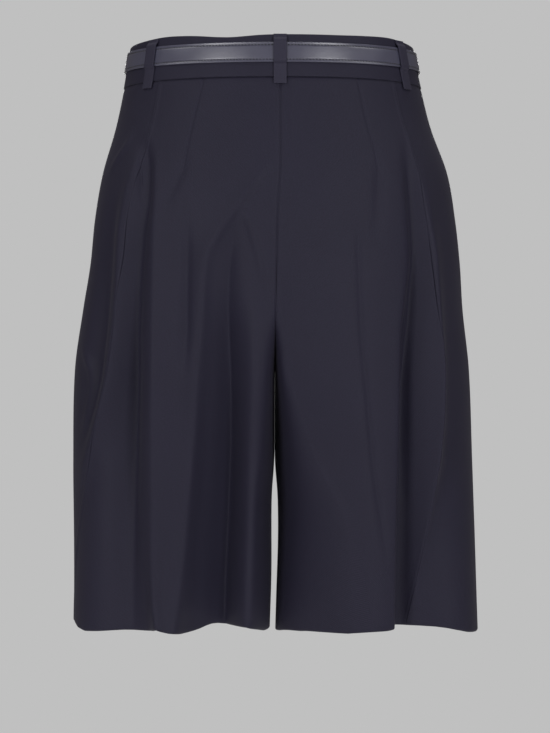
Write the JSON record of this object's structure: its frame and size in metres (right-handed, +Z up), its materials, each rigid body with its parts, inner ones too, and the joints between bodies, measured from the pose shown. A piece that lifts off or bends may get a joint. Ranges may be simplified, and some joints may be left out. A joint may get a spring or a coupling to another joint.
{
  "type": "wide-leg knee-length culottes with belt",
  "caption": "Wide-leg knee-length culottes of dark navy suiting with a narrow leather belt in loops, filled out as worn, open at the waist and at both hems.",
  "frame": {"origin": "centre of the wearer's waist, half way up the waistband", "axes": "+Z up, +Y the way the wearer faces, +X the wearer's right"},
  "size_m": [0.4042, 0.2387, 0.5761],
  "materials": {
    "suiting": "smooth dark navy twill suiting",
    "belt_leather": "satin dark navy finished leather",
    "buckle_metal": "nickel-plated, polished"
  },
  "bodies": {
    "root": {"back_left": "suiting", "back_right": "suiting", "front_left": "suiting", "front_right": "suiting", "waistband": "suiting", "fly": "suiting", "belt_loop_back": "suiting", "belt_loop_back_left": "suiting", "belt_loop_back_right": "suiting", "belt_loop_front_left": "suiting", "belt_loop_front_right": "suiting", "belt_strap": "belt_leather", "belt_keeper": "belt_leather", "buckle_frame": "buckle_metal", "buckle_prong": "buckle_metal"}
  },
  "joints": []
}
